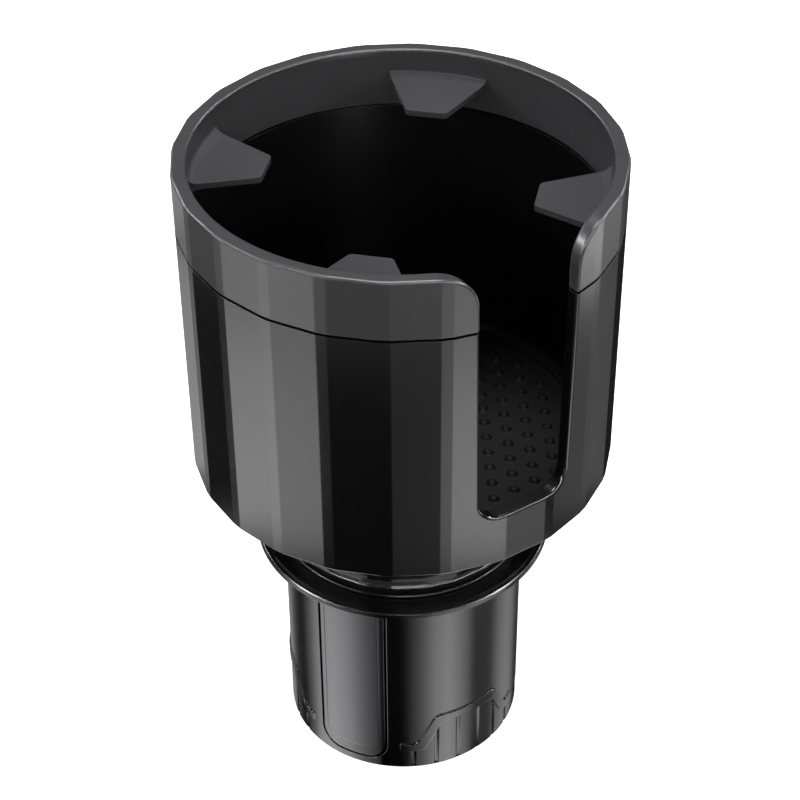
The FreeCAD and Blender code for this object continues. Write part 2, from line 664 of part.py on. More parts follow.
def make_centre_washer():
    """Washer that holds the scroll plate on the spindle."""
    hole = CENTRE_SCREW_RADIUS + SCREW_HOLE_CLEARANCE
    return ring(hole, WASHER_RADIUS, SCROLL_UNDER_Z - WASHER_THICKNESS, SCROLL_UNDER_Z)


def make_centre_screw():
    """Pan head screw up the middle of the spindle."""
    one = screw(CENTRE_SCREW_RADIUS, CENTRE_SCREW_LENGTH, CENTRE_SCREW_HEAD_RADIUS, CENTRE_SCREW_HEAD)
    one.translate(UP * (SCROLL_UNDER_Z - WASHER_THICKNESS - CENTRE_SCREW_HEAD))
    return one


def jaw_outline(grow):
    """Front outline of a jaw, grown on every side for its window."""
    half = JAW_HALF_WIDTH + grow
    low = JAW_BOTTOM - grow
    high = JAW_TOP + grow
    return [
        (-half, low, JAW_CORNER + grow),
        (half, low, JAW_CORNER + grow),
        (half, high, JAW_TOP_CORNER + grow),
        (-half, high, JAW_TOP_CORNER + grow),
    ]


def pad_outline(grow):
    """Front outline of the rubber pad, grown for its seat in the jaw."""
    half = PAD_HALF_WIDTH + grow
    low = JAW_BOTTOM + PAD_MARGIN - grow
    high = JAW_TOP - PAD_TOP_MARGIN + grow
    return [
        (-half, low, PAD_CORNER + grow),
        (half, low, PAD_CORNER + grow),
        (half, high, PAD_TOP_CORNER + grow),
        (-half, high, PAD_TOP_CORNER + grow),
    ]


def make_jaw():
    """Jaw facing -Y: a curved outer plate on two arms and a web, grooved below for its rail."""
    jaw = facing_prism(jaw_outline(0), JAW_INNER_RADIUS, BASE_RADIUS + PAST)
    jaw = jaw.common(disc(BASE_RADIUS, 0, BASE_HEIGHT))
    plate_inside = BASE_RADIUS - JAW_PLATE
    foot_top = JAW_BOTTOM + JAW_FOOT
    arm_under = ARM_TOP_Z - JAW_ARM
    hollow = disc(plate_inside, foot_top, arm_under)
    jaw = jaw.cut(hollow.cut(bar(JAW_WEB / 2, 0, BASE_RADIUS, foot_top, arm_under)))
    jaw = jaw.cut(disc(plate_inside, ARM_TOP_Z, BASE_HEIGHT))
    groove_half = GUIDE_RAIL_WIDTH / 2 + GUIDE_CLEARANCE
    groove_top = COVER_TOP_Z + GUIDE_RAIL_HEIGHT + GUIDE_CLEARANCE
    jaw = jaw.cut(bar(groove_half, 0, plate_inside, 0, groove_top))
    seat = facing_prism(pad_outline(PAD_CLEARANCE), JAW_INNER_RADIUS, 2 * BASE_RADIUS)
    seat = seat.cut(disc(BASE_RADIUS - PAD_THICKNESS, 0, BASE_HEIGHT))
    jaw = jaw.cut(seat)
    pin = disc(PIN_RADIUS, ARM_TOP_Z - PIN_DEPTH, BASE_HEIGHT, place(SCROLL_START_RADIUS, 0))
    return jaw.cut(pin)


def make_jaw_pad():
    """Rubber pad facing -Y, let into a jaw and a trace proud of it."""
    pad = facing_prism(pad_outline(0), JAW_INNER_RADIUS, 2 * BASE_RADIUS)
    return pad.common(ring(BASE_RADIUS - PAD_THICKNESS, BASE_RADIUS + PAD_PROUD, 0, BASE_HEIGHT))


def make_follower_pin():
    """Steel pin facing -Y, pressed into a jaw's upper arm and standing in a spiral slot."""
    return disc(PIN_RADIUS, ARM_TOP_Z - PIN_DEPTH, SCROLL_TOP_Z, place(SCROLL_START_RADIUS, 0))


def post_places():
    """Centres of the screw posts, midway between the jaws."""
    return [place(POST_CIRCLE, azimuth) for azimuth in BAND_AZIMUTHS]


def band_lower_edge(azimuth):
    """Height of the band's lower edge at an angle from its middle."""
    share = (abs(azimuth) - BAND_HIGH_ANGLE) / (BAND_LOW_ANGLE - BAND_HIGH_ANGLE)
    share = min(1.0, max(0.0, share))
    return BAND_HIGH_Z + (BAND_LOW_Z - BAND_HIGH_Z) * share


def band_side(azimuth):
    """Distance from the middle plane to a point of the base's face."""
    return BASE_RADIUS * math.sin(math.radians(azimuth))


def make_band():
    """Raised stepped band facing -Y, low at its ends and high in the middle."""
    end = band_side(BAND_END_ANGLE)
    lower = [
        (-end, BAND_LOW_Z, 0),
        (-band_side(BAND_LOW_ANGLE), BAND_LOW_Z, BAND_CORNER),
        (-band_side(BAND_HIGH_ANGLE), BAND_HIGH_Z, BAND_CORNER),
        (band_side(BAND_HIGH_ANGLE), BAND_HIGH_Z, BAND_CORNER),
        (band_side(BAND_LOW_ANGLE), BAND_LOW_Z, BAND_CORNER),
        (end, BAND_LOW_Z, 0),
    ]
    climb = BAND_HIGH_Z - BAND_LOW_Z
    run = band_side(BAND_LOW_ANGLE) - band_side(BAND_HIGH_ANGLE)
    lean = BAND_HEIGHT * (math.hypot(climb, run) - run) / climb
    upper = [
        (end, BAND_LOW_Z + BAND_HEIGHT, 0),
        (band_side(BAND_LOW_ANGLE) + lean, BAND_LOW_Z + BAND_HEIGHT, BAND_CORNER),
        (band_side(BAND_HIGH_ANGLE) + lean, BAND_HIGH_Z + BAND_HEIGHT, BAND_CORNER),
        (-band_side(BAND_HIGH_ANGLE) - lean, BAND_HIGH_Z + BAND_HEIGHT, BAND_CORNER),
        (-band_side(BAND_LOW_ANGLE) - lean, BAND_LOW_Z + BAND_HEIGHT, BAND_CORNER),
        (-end, BAND_LOW_Z + BAND_HEIGHT, 0),
    ]
    prism = facing_prism(lower + upper, 0, 2 * BASE_RADIUS)
    return prism.common(ring(BASE_RADIUS - BASE_WALL / 2, BASE_RADIUS + BAND_RAISE, 0, BASE_HEIGHT))


def groove_cutters():
    """Shallow upright grooves below the band, facing -Y."""
    radius = (GROOVE_WIDTH ** 2 / 4 + GROOVE_DEPTH ** 2) / (2 * GROOVE_DEPTH)
    cutters = []
    for i in range(GROOVE_COUNT):
        azimuth = GROOVE_PITCH * (i - (GROOVE_COUNT - 1) / 2)
        centre = place(BASE_RADIUS - GROOVE_DEPTH + radius, azimuth)
        top = band_lower_edge(azimuth) + BAND_HEIGHT / 2
        cutters.append(disc(radius, -PAST, top, centre))
    return cutters


def base_profile():
    """Half section of the base shell before it is opened, as (radius, height) points."""
    flange_top = BASE_HEIGHT + FLANGE_LIP
    flange_under = BASE_HEIGHT - FLANGE_THICKNESS
    soft = FLANGE_LIP
    points = [
        (0, BASE_HEIGHT),
        (FLANGE_RADIUS - FLANGE_LIP_WIDTH - soft, BASE_HEIGHT),
        (FLANGE_RADIUS - FLANGE_LIP_WIDTH, flange_top - soft / 2),
        (FLANGE_RADIUS - FLANGE_LIP_WIDTH + soft, flange_top),
        (FLANGE_RADIUS - soft, flange_top),
        (FLANGE_RADIUS, flange_top - soft),
        (FLANGE_RADIUS, flange_under + soft),
        (FLANGE_RADIUS - soft, flange_under),
        (BASE_RADIUS + FLANGE_FILLET, flange_under),
    ]
    for angle in (30, 60, 90):
        turn = math.radians(angle)
        radius = BASE_RADIUS + FLANGE_FILLET * (1 - math.sin(turn))
        points.append((radius, flange_under - FLANGE_FILLET * (1 - math.cos(turn))))
    points += [
        (BASE_RADIUS, BASE_FOOT_CHAMFER),
        (BASE_RADIUS - BASE_FOOT_CHAMFER, 0),
        (BASE_BORE_RADIUS, 0),
        (BASE_BORE_RADIUS, DECK_UNDER_Z),
        (0, DECK_UNDER_Z),
    ]
    return points


def make_base_shell():
    """Base moulding: flange and deck on a round wall, with jaw windows, guide fences and screw posts."""
    shell = spun(base_profile())
    for azimuth in BAND_AZIMUTHS:
        for cutter in groove_cutters():
            shell = shell.cut(turned(cutter, azimuth))
        shell = shell.fuse(turned(make_band(), azimuth))
    for centre in post_places():
        shell = shell.fuse(disc(POST_RADIUS, COVER_TOP_Z, DECK_UNDER_Z + PAST, centre))
    fence_near = JAW_HALF_WIDTH + GUIDE_CLEARANCE
    fence_low = ARM_TOP_Z - JAW_ARM
    fence_half = fence_near + GUIDE_FENCE_THICKNESS
    fence = bar(fence_half, GUIDE_FENCE_INNER_RADIUS, BASE_RADIUS, fence_low, BASE_HEIGHT)
    fence = fence.cut(bar(fence_near, 0, BASE_RADIUS, 0, BASE_HEIGHT))
    fence = fence.common(disc(BASE_RADIUS - BASE_WALL / 2, fence_low, DECK_UNDER_Z + PAST))
    window = facing_prism(jaw_outline(WINDOW_GAP), GUIDE_FENCE_INNER_RADIUS, 2 * BASE_RADIUS)
    window = window.cut(disc(BASE_BORE_RADIUS - PAST, 0, BASE_HEIGHT))
    for azimuth in JAW_AZIMUTHS:
        shell = shell.cut(turned(window, azimuth))
        shell = shell.fuse(turned(fence, azimuth))
    hole = SCREW_RADIUS + SCREW_HOLE_CLEARANCE
    for centre in post_places():
        shell = shell.cut(disc(hole, 0, COVER_TOP_Z + COVER_SCREW_LENGTH, centre))
    shell = shell.cut(disc(SPINDLE_RADIUS + SPINDLE_FIT, DECK_UNDER_Z - PAST, BASE_HEIGHT + PAST))
    seat = ring(
        FRICTION_INNER_RADIUS - FRICTION_CLEARANCE,
        FRICTION_OUTER_RADIUS + FRICTION_CLEARANCE,
        BASE_HEIGHT - FRICTION_SEAT,
        BASE_HEIGHT + PAST,
    )
    return shell.cut(seat).removeSplitter()


def make_bottom_cover():
    """Cover that closes the base from below and carries a rail under each jaw."""
    cover = disc(BASE_BORE_RADIUS - COVER_CLEARANCE, COVER_RECESS, COVER_TOP_Z)
    rail_end = BASE_RADIUS - JAW_PLATE - GUIDE_CLEARANCE
    for azimuth in JAW_AZIMUTHS:
        rail = bar(
            GUIDE_RAIL_WIDTH / 2,
            JAW_INNER_RADIUS,
            rail_end,
            COVER_TOP_Z - PAST,
            COVER_TOP_Z + GUIDE_RAIL_HEIGHT,
        )
        cover = cover.fuse(turned(rail, azimuth))
    for centre in post_places():
        cover = cover.cut(disc(SCREW_RADIUS + SCREW_HOLE_CLEARANCE, 0, COVER_TOP_Z + PAST, centre))
        head = COVER_SCREW_HEAD_RADIUS + SCREW_HEAD_CLEARANCE
        cover = cover.cut(disc(head, 0, COVER_RECESS + COVER_SCREW_HEAD, centre))
    return cover.removeSplitter()


def make_bottom_screws():
    """Screws up through the bottom cover into the posts."""
    screws = []
    for centre in post_places():
        one = screw(SCREW_RADIUS, COVER_SCREW_LENGTH, COVER_SCREW_HEAD_RADIUS, COVER_SCREW_HEAD)
        one.translate(FreeCAD.Vector(centre.x, centre.y, COVER_RECESS))
        screws.append(one)
    return Part.makeCompound(screws)


def make_parts():
    """Every sub-part by its name."""
    parts = {
        "grip_collar": make_grip_collar(),
        "cup_body": make_cup_body(),
        "floor_mat": make_floor_mat(),
        "cup_screws": make_cup_screws(),
        "neck_hub": make_neck_hub(),
        "friction_washer": make_friction_washer(),
        "scroll_plate": make_scroll_plate(),
        "centre_washer": make_centre_washer(),
        "centre_screw": make_centre_screw(),
        "base_shell": make_base_shell(),
        "bottom_cover": make_bottom_cover(),
        "bottom_screws": make_bottom_screws(),
    }
    for number, azimuth in enumerate(JAW_AZIMUTHS, start=1):
        parts[f"jaw_{number}"] = turned(make_jaw(), azimuth)
        parts[f"jaw_pad_{number}"] = turned(make_jaw_pad(), azimuth)
        parts[f"follower_pin_{number}"] = turned(make_follower_pin(), azimuth)
    return parts


os.makedirs("parts", exist_ok=True)
for name, shape in make_parts().items():
    shape.exportStep(f"parts/{name}.step")
    print(name, "solids", len(shape.Solids), "valid", shape.isValid(), "volume", round(shape.Volume, 1))
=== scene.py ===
import json
import math

import bpy
from mathutils import Matrix, Vector


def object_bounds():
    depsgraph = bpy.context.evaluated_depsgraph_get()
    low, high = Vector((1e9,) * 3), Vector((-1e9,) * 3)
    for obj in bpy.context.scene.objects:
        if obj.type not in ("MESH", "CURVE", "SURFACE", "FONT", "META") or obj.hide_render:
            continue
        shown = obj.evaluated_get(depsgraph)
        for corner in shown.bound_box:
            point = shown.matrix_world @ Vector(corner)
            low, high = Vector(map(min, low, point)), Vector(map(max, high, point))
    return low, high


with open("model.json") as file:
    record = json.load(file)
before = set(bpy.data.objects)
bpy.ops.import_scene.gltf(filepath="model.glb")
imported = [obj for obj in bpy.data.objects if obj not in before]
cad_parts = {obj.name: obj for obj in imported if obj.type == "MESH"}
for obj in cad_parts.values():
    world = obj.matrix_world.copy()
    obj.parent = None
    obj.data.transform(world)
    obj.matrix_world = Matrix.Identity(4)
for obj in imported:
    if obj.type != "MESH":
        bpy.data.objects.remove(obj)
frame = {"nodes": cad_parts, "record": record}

cad_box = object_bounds()

MM = 0.001


def heading(azimuth):
    """Unit vector at an azimuth: 0 faces -Y, positive turns towards +X."""
    turn = math.radians(azimuth)
    return Vector((math.sin(turn), -math.cos(turn), 0.0))


def at(radius, azimuth, z):
    """Point at a radius and azimuth, in metres."""
    return heading(azimuth) * radius + Vector((0.0, 0.0, z))


# Camera, found from the photograph's rim, seam and base ellipses; millimetres and degrees

IMAGE_SIZE = 800
FOCAL_PIXELS = 2061.7
SENSOR_MM = 36.0
CAMERA_AZIMUTH = -33.3
CAMERA_DISTANCE = 433.7
CAMERA_HEIGHT = 444.8
CAMERA_SIDE = -0.5
CAMERA_PITCH = 37.87
CAMERA_ROLL = -0.456


def camera_directions():
    """Level directions from the holder towards the camera and to the camera's right."""
    away = heading(CAMERA_AZIMUTH)
    return away, Vector((-away.y, away.x, 0.0))


def camera_place():
    """Where the camera stands."""
    away, right = camera_directions()
    return (away * CAMERA_DISTANCE + right * CAMERA_SIDE + Vector((0.0, 0.0, CAMERA_HEIGHT))) * MM


def make_camera():
    """Camera at the photograph's viewing angle."""
    data = bpy.data.cameras.new("camera")
    data.sensor_fit = "HORIZONTAL"
    data.sensor_width = SENSOR_MM
    data.lens = SENSOR_MM * FOCAL_PIXELS / IMAGE_SIZE
    camera = bpy.data.objects.new("camera", data)
    bpy.context.scene.collection.objects.link(camera)
    away, right = camera_directions()
    pitch = math.radians(CAMERA_PITCH)
    backward = away * math.cos(pitch) + Vector((0.0, 0.0, math.sin(pitch)))
    upward = backward.cross(right)
    turn = Matrix((right, upward, backward)).transposed().to_4x4()
    roll = Matrix.Rotation(math.radians(CAMERA_ROLL), 4, "Z")
    camera.matrix_world = Matrix.Translation(camera_place()) @ turn @ roll
    bpy.context.scene.camera = camera


# Node trees

RIM_ZONE = 2.0 * MM         # height at the rim where the rounding of edges grows
CORE_BLEND = 0.25 * MM      # width over which the duller inside turns into the outside
EDGE_SAMPLES = 6


def find_node(tree, kind):
    """First node of a kind."""
    return next(node for node in tree.nodes if node.type == kind)


def new_material(name):
    """Material with its node tree and shader."""
    material = bpy.data.materials.new(name)
    material.use_nodes = True
    tree = material.node_tree
    return material, tree, find_node(tree, "BSDF_PRINCIPLED")


def object_place(tree):
    """Place in the object's own coordinates, which are metres in the part's frame."""
    return tree.nodes.new("ShaderNodeTexCoord").outputs["Object"]


def noise(tree, scale, detail=3.0, roughness=0.5, squeeze=(1.0, 1.0, 1.0)):
    """Noise over the object."""
    mapping = tree.nodes.new("ShaderNodeMapping")
    mapping.inputs["Scale"].default_value = squeeze
    tree.links.new(object_place(tree), mapping.inputs["Vector"])
    texture = tree.nodes.new("ShaderNodeTexNoise")
    texture.inputs["Scale"].default_value = scale
    texture.inputs["Detail"].default_value = detail
    texture.inputs["Roughness"].default_value = roughness
    tree.links.new(mapping.outputs["Vector"], texture.inputs["Vector"])
    return texture.outputs["Fac"]


def ramp(tree, value, low, high, start=0.3, end=0.7):
    """Value that runs from low to high between two levels of another."""
    node = tree.nodes.new("ShaderNodeMapRange")
    node.clamp = True
    node.inputs["From Min"].default_value = start
    node.inputs["From Max"].default_value = end
    node.inputs["To Min"].default_value = low
    node.inputs["To Max"].default_value = high
    tree.links.new(value, node.inputs["Value"])
    return node.outputs["Result"]


def mix_colours(tree, value, first, second):
    """Colour between two colours, by a noise."""
    node = tree.nodes.new("ShaderNodeMix")
    node.data_type = "RGBA"
    node.inputs["A"].default_value = (*first, 1.0)
    node.inputs["B"].default_value = (*second, 1.0)
    tree.links.new(ramp(tree, value, 0.0, 1.0), node.inputs["Factor"])
    return node.outputs["Result"]


def calculate(tree, operation, first, second):
    """Result of one operation on two values."""
    node = tree.nodes.new("ShaderNodeMath")
    node.operation = operation
    tree.links.new(first, node.inputs[0])
    tree.links.new(second, node.inputs[1])
    return node.outputs[0]


def split_place(tree):
    """Coordinates of the place, one by one."""
    split = tree.nodes.new("ShaderNodeSeparateXYZ")
    tree.links.new(object_place(tree), split.inputs["Vector"])
    return split.outputs


def rim_share(tree):
    """Value that runs from 0 below the rim of the holder to 1 at the rim."""
    rim = cad_box[1][2]
    return ramp(tree, split_place(tree)["Z"], 0.0, 1.0, rim - RIM_ZONE, rim - RIM_ZONE / 2)


def outside_share(tree, radius):
    """Value that runs from 0 inside a radius, below the rim, to 1 outside it or at the rim."""
    place = split_place(tree)
    squares = [calculate(tree, "MULTIPLY", place[axis], place[axis]) for axis in ("X", "Y")]
    total = calculate(tree, "ADD", *squares)
    outside = ramp(tree, total, 0.0, 1.0, radius ** 2, (radius + CORE_BLEND) ** 2)
    return calculate(tree, "MAXIMUM", outside, rim_share(tree))


def rounded_edges(tree, radius, rim_radius):
    """Normal that softens sharp edges, by another radius at the rim of the holder."""
    blend = tree.nodes.new("ShaderNodeMix")
    blend.data_type = "VECTOR"
    tree.links.new(rim_share(tree), blend.inputs["Factor"])
    # Sockets 4 and 5 and output 1 are the node's vectors
    for socket, reach in ((4, radius), (5, rim_radius)):
        edge = tree.nodes.new("ShaderNodeBevel")
        edge.samples = EDGE_SAMPLES
        edge.inputs["Radius"].default_value = reach
        tree.links.new(edge.outputs["Normal"], blend.inputs[socket])
    return blend.outputs[1]


def bump(tree, shader, height, depth, edge, rim=None):
    """Bump of a depth over softened edges; edge and rim are their radii, all in millimetres."""
    node = tree.nodes.new("ShaderNodeBump")
    node.inputs["Distance"].default_value = depth * MM
    tree.links.new(height, node.inputs["Height"])
    tree.links.new(rounded_edges(tree, edge * MM, (rim or edge) * MM), node.inputs["Normal"])
    tree.links.new(node.outputs["Normal"], shader.inputs["Normal"])


def camera_or_rest(tree, seen, rest, output):
    """Gives the camera's rays one shader and all the others another."""
    paths = tree.nodes.new("ShaderNodeLightPath")
    mix = tree.nodes.new("ShaderNodeMixShader")
    tree.links.new(paths.outputs["Is Camera Ray"], mix.inputs[0])
    tree.links.new(rest.outputs[0], mix.inputs[1])
    tree.links.new(seen.outputs[0], mix.inputs[2])
    tree.links.new(mix.outputs[0], output.inputs["Surface"])


# Materials

CLOUD_SCALE = 60.0
SMEAR_SCALE = 400.0
SMEAR_SHARE = 0.05          # how much the gloss of a moulded face varies
CORE_RADIUS = 52.6 * MM     # just outside the bore


def moulded(name, dark, light, rough, grain, depth, edge, rim=None, specular=0.5):
    """Moulded plastic or rubber: clouds in its colour, uneven gloss and fine grain, in millimetres."""
    material, tree, shader = new_material(name)
    cloud = noise(tree, CLOUD_SCALE, 4.0)
    tree.links.new(mix_colours(tree, cloud, dark, light), shader.inputs["Base Color"])
    smear = noise(tree, SMEAR_SCALE, 4.0)
    gloss = ramp(tree, smear, rough * (1.0 - SMEAR_SHARE), rough * (1.0 + SMEAR_SHARE))
    tree.links.new(gloss, shader.inputs["Roughness"])
    shader.inputs["Specular IOR Level"].default_value = specular
    bump(tree, shader, noise(tree, 1.0 / (grain * MM), 2.0, 0.6), depth, edge, rim)
    return material


def satin_inside(material, rough, specular):
    """Makes a moulded material less glossy in the bore, as the mould's core leaves it."""
    tree = material.node_tree
    shader = find_node(tree, "BSDF_PRINCIPLED")
    outside = outside_share(tree, CORE_RADIUS)
    socket = shader.inputs["Roughness"]
    blend = tree.nodes.new("ShaderNodeMix")
    tree.links.new(outside, blend.inputs["Factor"])
    # Sockets 2 and 3 are the node's plain values
    blend.inputs[2].default_value = rough
    tree.links.new(socket.links[0].from_socket, blend.inputs[3])
    tree.links.new(blend.outputs[0], socket)
    socket = shader.inputs["Specular IOR Level"]
    tree.links.new(ramp(tree, outside, specular, socket.default_value, 0.0, 1.0), socket)
    return material


def plated_steel(name):
    """Zinc plated steel with fine scratches."""
    material, tree, shader = new_material(name)
    patches = noise(tree, 500.0)
    colours = mix_colours(tree, patches, (0.50, 0.51, 0.53), (0.66, 0.66, 0.66))
    tree.links.new(colours, shader.inputs["Base Color"])
    shader.inputs["Metallic"].default_value = 1.0
    tree.links.new(ramp(tree, noise(tree, 900.0, 4.0), 0.25, 0.45), shader.inputs["Roughness"])
    scratches = noise(tree, 2500.0, 2.0, 0.6, (1.0, 6.0, 1.0))
    bump(tree, shader, scratches, depth=0.01, edge=0.1)
    return material


def pressed_fibre(name):
    """Red vulcanised fibre with a mottled face."""
    material, tree, shader = new_material(name)
    fibres = noise(tree, 900.0, 6.0, 0.7, (1.0, 3.0, 1.0))
    colours = mix_colours(tree, fibres, (0.22, 0.035, 0.02), (0.34, 0.07, 0.04))
    tree.links.new(colours, shader.inputs["Base Color"])
    shader.inputs["Roughness"].default_value = 0.7
    bump(tree, shader, fibres, depth=0.03, edge=0.1)
    return material


def grey(level, violet=0.0):
    """Grey with a share of violet in it."""
    return (level, level * (1.0 - violet / 2), level * (1.0 + violet))


def make_materials():
    """Every material of the object, by the record's slot."""
    cup = moulded(
        "cup_plastic", grey(0.0026), grey(0.0034), rough=0.20, grain=0.35, depth=0.004, edge=0.12
    )
    base = moulded(
        "base_plastic", grey(0.0024), grey(0.0032), rough=0.18, grain=0.5, depth=0.002, edge=0.35
    )
    collar = moulded(
        "collar_rubber", grey(0.031, 0.04), grey(0.036, 0.04),
        rough=0.30, grain=0.3, depth=0.005, edge=0.25, rim=0.8, specular=0.45,
    )
    mat = moulded(
        "mat_rubber", grey(0.0022), grey(0.0034),
        rough=0.52, grain=0.4, depth=0.010, edge=0.25, specular=0.12,
    )
    pad = moulded(
        "pad_rubber", (0.014, 0.0135, 0.021), (0.016, 0.0155, 0.025),
        rough=0.23, grain=0.3, depth=0.0012, edge=0.45,
    )
    inner = moulded(
        "inner_plastic", grey(0.50), grey(0.58), rough=0.40, grain=0.6, depth=0.010, edge=0.2
    )
    return {
        "cup_plastic": satin_inside(cup, rough=0.28, specular=0.25),
        "base_plastic": base,
        "collar_rubber": satin_inside(collar, rough=0.50, specular=0.12),
        "mat_rubber": mat,
        "pad_rubber": pad,
        "inner_plastic": inner,
        "washer_fibre": pressed_fibre("washer_fibre"),
        "screw_steel": plated_steel("screw_steel"),
    }


def dress_nodes(materials):
    """Gives every node of the part the material of its slot."""
    for part in frame["record"]["subparts"]:
        mesh = frame["nodes"][part["node"]].data
        mesh.materials.clear()
        mesh.materials.append(materials[part["material_slot"]])


# Lights

LIGHT_TARGET = (0.0, 0.0, 0.1)
OVERHEAD_SIZE = (0.4, 0.4)
OVERHEAD_POWER = 12.0
OVERHEAD_RADIUS = -0.26     # less than 0 is behind the holder, as the camera sees it
OVERHEAD_HEIGHT = 1.1
STRIP_SIZE = (1.0, 0.3)
STRIP_POWER = 5.0
STRIP_RADIUS = 0.9
STRIP_HEIGHT = 0.55
STRIP_TURNS = (-80, 0, 80)
WORLD_STRENGTH = 0.12


def lamp(name, size, power, place, glossy):
    """Soft rectangular lamp that the camera doesn't see, and that glossy faces show or don't."""
    data = bpy.data.lights.new(name, "AREA")
    data.shape = "RECTANGLE"
    data.size, data.size_y = size
    data.energy = power
    holder = bpy.data.objects.new(name, data)
    bpy.context.scene.collection.objects.link(holder)
    holder.location = place
    holder.rotation_euler = (Vector(LIGHT_TARGET) - place).to_track_quat("-Z", "Y").to_euler()
    holder.visible_camera = False
    holder.visible_glossy = glossy


def make_lights():
    """Soft lamp overhead, and three long ones low in front that fill the sides."""
    place = at(OVERHEAD_RADIUS, CAMERA_AZIMUTH, OVERHEAD_HEIGHT)
    lamp("overhead", OVERHEAD_SIZE, OVERHEAD_POWER, place, True)
    for number, turn in enumerate(STRIP_TURNS):
        place = at(STRIP_RADIUS, CAMERA_AZIMUTH + turn, STRIP_HEIGHT)
        lamp(f"strip_{number}", STRIP_SIZE, STRIP_POWER, place, False)


def make_world():
    """Pale surroundings: white where the camera sees them, dim as light."""
    world = bpy.data.worlds.new("world")
    world.use_nodes = True
    bpy.context.scene.world = world
    tree = world.node_tree
    tree.nodes.clear()
    output = tree.nodes.new("ShaderNodeOutputWorld")
    dim = tree.nodes.new("ShaderNodeBackground")
    white = tree.nodes.new("ShaderNodeBackground")
    for background, strength in ((dim, WORLD_STRENGTH), (white, 1.0)):
        background.inputs["Color"].default_value = (1.0, 1.0, 1.0, 1.0)
        background.inputs["Strength"].default_value = strength
    camera_or_rest(tree, white, dim, output)


# Floor

FLOOR_HALF = 1.5
FLOOR_GAP = 0.0002
FLOOR_GREY = 0.8
FLOOR_LIFT = 0.85           # light of its own that makes the floor white to the camera
FLOOR_GREY_IN_GLOSS = 0.005


def flat_mesh(name, rows, material):
    """Stage object of quads between rows of points."""
    points = [point for row in rows for point in row]
    width = len(rows[0])
    faces = []
    for j in range(len(rows) - 1):
        for i in range(width - 1):
            first = j * width + i
            faces.append((first, first + 1, first + width + 1, first + width))
    mesh = bpy.data.meshes.new(name)
    mesh.from_pydata(points, [], faces)
    mesh.materials.append(material)
    piece = bpy.data.objects.new(name, mesh)
    bpy.context.scene.collection.objects.link(piece)
    return piece


def make_floor():
    """Plain pale floor under the holder, white to the camera and dark in the gloss."""
    material, tree, shader = new_material("floor_paper")
    shader.inputs["Base Color"].default_value = (FLOOR_GREY, FLOOR_GREY, FLOOR_GREY, 1.0)
    shader.inputs["Roughness"].default_value = 0.9
    shader.inputs["Specular IOR Level"].default_value = 0.0
    lift = tree.nodes.new("ShaderNodeEmission")
    lift.inputs["Strength"].default_value = FLOOR_LIFT
    bright = tree.nodes.new("ShaderNodeAddShader")
    tree.links.new(shader.outputs[0], bright.inputs[0])
    tree.links.new(lift.outputs[0], bright.inputs[1])
    dark = tree.nodes.new("ShaderNodeBsdfDiffuse")
    dark.inputs["Color"].default_value = (*[FLOOR_GREY_IN_GLOSS] * 3, 1.0)
    camera_or_rest(tree, bright, dark, find_node(tree, "OUTPUT_MATERIAL"))
    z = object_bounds()[0][2] - FLOOR_GAP
    near = [(-FLOOR_HALF, -FLOOR_HALF, z), (FLOOR_HALF, -FLOOR_HALF, z)]
    far = [(-FLOOR_HALF, FLOOR_HALF, z), (FLOOR_HALF, FLOOR_HALF, z)]
    flat_mesh("floor", [near, far], material)


# Glowing cards that only glossy faces show

# Walls in which the camera sees the floor mirrored: (radius, lowest, highest) in metres, and the
# share of the brightness that is left at the top
WALLS = {
    "base": (0.033, 0.0002, 0.070, 1.0),
    "neck": (0.031, 0.073, 0.097, 1.0),
    "cup": (0.056, 0.097, 0.1677, 0.8),
    "collar": (0.056, 0.1725, 0.190, 1.0),
}

# Brightness of the glowing ring on the floor that each wall shows, as (azimuth, brightness) stops,
# with the azimuths taken on the wall, from the camera; it runs evenly between two stops
GLOWS = {
    "base": [
        (-84, 0.5), (-74, 0.42), (-67, 0.16), (-61, 0.04), (-57, 0.06), (-51, 0.7), (-46, 2.1),
        (-37, 3.4), (-28, 3.0), (-20, 1.4), (-13, 0.5), (-11, 0.0), (-2, 0.0), (1, 0.1), (8, 1.1),
        (15, 2.9), (22, 3.5), (30, 1.8), (36, 0.3), (46, 0.25), (53, 0.85), (60, 0.9), (66, 0.55),
        (73, 0.05), (84, 0.0),
    ],
    "neck": [
        (-84, 0.8), (-50, 0.8), (-49, 1.2), (-36, 0.6), (-33, 0.0), (0, 0.0), (1, 0.4), (7, 0.4),
        (12, 1.3), (24, 1.3), (27, 3.5), (40, 3.5), (41, 0.1), (70, 0.1),
    ],
    "cup": [
        (-84, 0.66), (-63, 0.66), (-62, 0.0), (-47, 0.0), (-46, 2.9), (-37, 2.9), (-36, 4.0),
        (-32.5, 4.0), (-31.5, 2.85), (-22, 2.85), (-21, 0.0), (0, 0.0), (0.5, 0.36), (7, 0.36),
        (9, 1.6), (12, 1.6), (12.5, 3.8), (27, 3.8), (27.5, 1.05), (38, 1.05), (38.5, 0.0),
        (44, 0.0), (45, 0.5), (54, 0.5), (55, 0.40), (65, 0.30), (66, 0.0),
    ],
    "collar": [
        (-84, 0.75), (-66, 0.75), (-65, 0.2), (-47, 0.2), (-46, 2.1), (-37, 2.1), (-36, 3.4),
        (-32.5, 3.4), (-31.5, 2.8), (-22, 2.8), (-21, 0.6), (-1, 0.6), (0, 0.9), (8, 0.9),
        (9, 1.6), (12, 1.6), (12.5, 2.4), (24, 2.4), (25, 0.0), (43, 0.0), (44, 4.5), (54, 4.5),
        (55, 3.0), (57.5, 3.0), (58, 0.55), (66, 0.4), (67, 0.0),
    ],
}
GLOW_STEP = 2.0             # longest step between two columns of a ring, in degrees
GLOW_ROWS = (0.0, 0.5, 1.0)  # heights on the wall that a ring's rows mirror, as shares
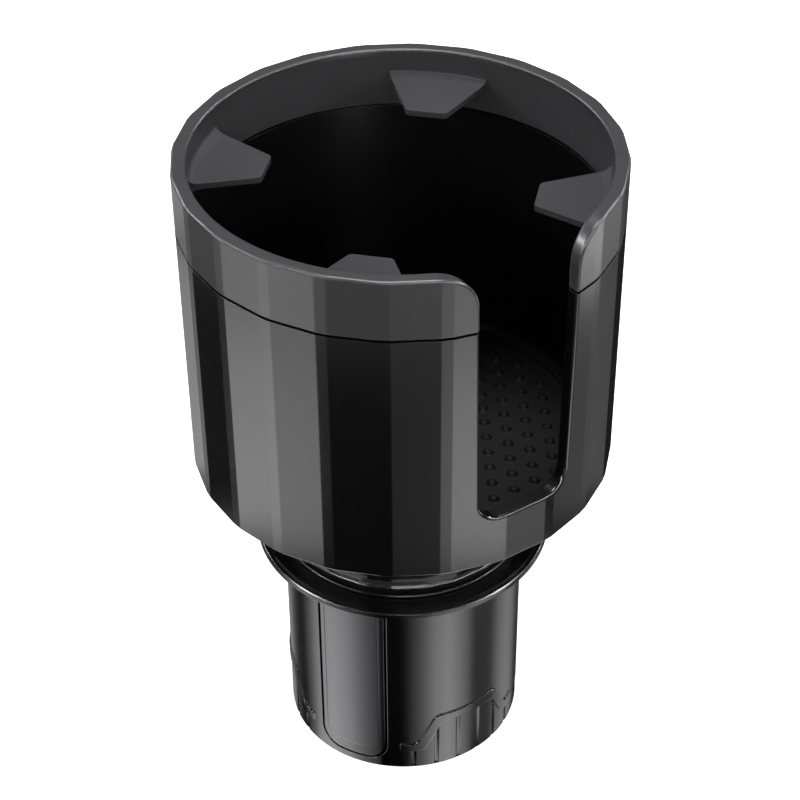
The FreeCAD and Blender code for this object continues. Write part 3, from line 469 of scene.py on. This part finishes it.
GLOW_FAR_RADIUS = 1.5
GLOW_FAR_SHARE = 0.25       # share of the brightness that is left at the far radius

EDGE_CARD_RADIUS = 1.0
EDGE_CARD_ELEVATIONS = (32, 36)
EDGE_CARD_ARCS = ((-140, -34), (-12, 140))
EDGE_CARD_STEP = 2
EDGE_CARD_BRIGHTNESS = 48.0


def mirrored(radius, azimuth, z):
    """Point of the floor that the camera sees mirrored in an upright round wall."""
    wall = at(radius, CAMERA_AZIMUTH + azimuth, z)
    normal = heading(CAMERA_AZIMUTH + azimuth)
    sight = wall - camera_place()
    bounce = sight - normal * (2.0 * sight.dot(normal))
    return wall - bounce * (z / bounce.z)


def glowing_card(name, rows, brightness):
    """Card that only reflections see, with a brightness for each of its points."""
    material, tree, shader = new_material(name)
    tree.nodes.remove(shader)
    level = tree.nodes.new("ShaderNodeAttribute")
    level.attribute_name = "brightness"
    glow = tree.nodes.new("ShaderNodeEmission")
    tree.links.new(level.outputs["Fac"], glow.inputs["Strength"])
    tree.links.new(glow.outputs[0], find_node(tree, "OUTPUT_MATERIAL").inputs["Surface"])
    card = flat_mesh(name, rows, material)
    values = card.data.attributes.new("brightness", "FLOAT", "POINT")
    values.data.foreach_set("value", brightness)
    card.visible_camera = False
    card.visible_shadow = False
    card.visible_diffuse = False


def filled_stops(stops):
    """Stops with more between them, so that no step is longer than GLOW_STEP."""
    filled = [stops[0]]
    for (first, low), (last, high) in zip(stops, stops[1:]):
        steps = math.ceil((last - first) / GLOW_STEP)
        for i in range(1, steps + 1):
            filled.append((first + (last - first) * i / steps, low + (high - low) * i / steps))
    return filled


def make_floor_rings():
    """Glowing rings on the floor that give the glossy walls their stripes."""
    for wall, stops in GLOWS.items():
        radius, low, high, top_share = WALLS[wall]
        columns = filled_stops(stops)
        rows = []
        glows = []
        for step in GLOW_ROWS:
            z = low + (high - low) * step
            share = 1.0 + (top_share - 1.0) * step
            rows.append([mirrored(radius, azimuth, z) for azimuth, _ in columns])
            glows += [brightness * share for _, brightness in columns]
        if wall == "collar":
            rows.append([point.normalized() * GLOW_FAR_RADIUS for point in rows[-1]])
            glows += [brightness * GLOW_FAR_SHARE for _, brightness in columns]
        glowing_card(f"{wall}_glow", rows, glows)


def make_edge_cards():
    """Two long bowed cards before the holder that draw lines on rounded edges."""
    for number, (first, last) in enumerate(EDGE_CARD_ARCS):
        turns = range(first, last + 1, EDGE_CARD_STEP)
        rows = []
        for elevation in EDGE_CARD_ELEVATIONS:
            lift = math.radians(elevation)
            reach = EDGE_CARD_RADIUS * math.cos(lift)
            height = EDGE_CARD_RADIUS * math.sin(lift)
            rows.append([at(reach, CAMERA_AZIMUTH + turn, height) for turn in turns])
        glowing_card(f"edge_card_{number}", rows, [EDGE_CARD_BRIGHTNESS] * len(turns) * len(rows))


# Scene

bpy.context.scene.view_settings.view_transform = "Standard"
make_camera()
make_world()
make_floor()
make_lights()
make_floor_rings()
make_edge_cards()
dress_nodes(make_materials())
